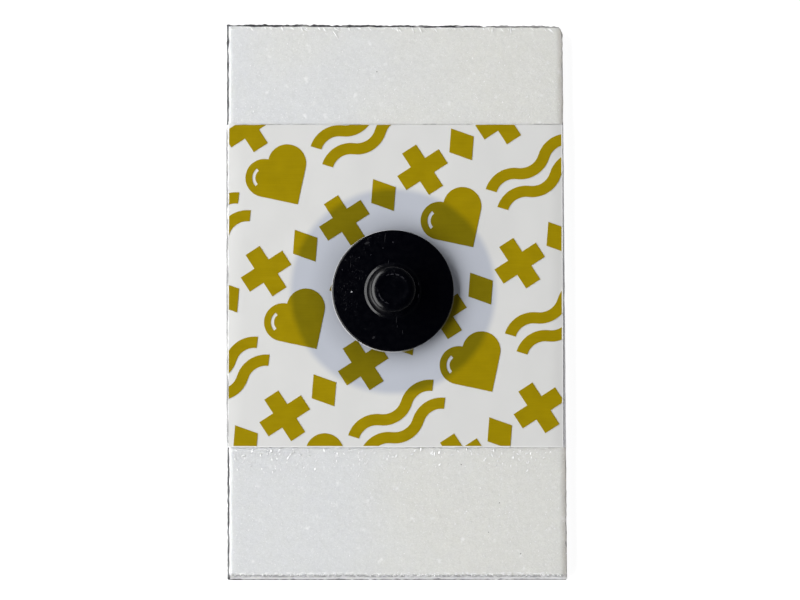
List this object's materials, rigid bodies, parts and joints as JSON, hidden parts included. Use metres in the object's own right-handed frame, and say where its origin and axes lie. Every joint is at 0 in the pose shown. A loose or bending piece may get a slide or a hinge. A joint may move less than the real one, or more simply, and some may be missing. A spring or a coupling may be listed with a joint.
{
  "type": "ecg electrode",
  "caption": "Disposable ECG monitoring electrode: a rectangular white foam pad with a printed label, a gel well and a black snap stud, lying on its release liner.",
  "frame": {"origin": "on the snap stud's axis, at the release liner's resting face", "axes": "+Z out of the snap stud, +Y along the pad's long side towards its shorter bare end, +X along its short side"},
  "size_m": [0.0302, 0.0494, 0.0048],
  "materials": {
    "liner_film": "clear, lightly hazed polyester film",
    "adhesive": "clear tacky coat",
    "foam": "fine closed-cell foam",
    "gel": "wet, cloudy gel",
    "silver_coat": "dull grey silver and silver chloride coat",
    "label_film": "smooth white film",
    "print_ink": "satin olive-gold ink",
    "black_plastic": "satin moulded black"
  },
  "bodies": {
    "root": {"release_liner": "liner_film", "skin_adhesive": "adhesive", "foam_pad": "foam", "gel_disc": "gel", "sensor_eyelet": "silver_coat", "face_label": "label_film", "label_print": "print_ink", "snap_stud": "black_plastic"}
  },
  "joints": []
}
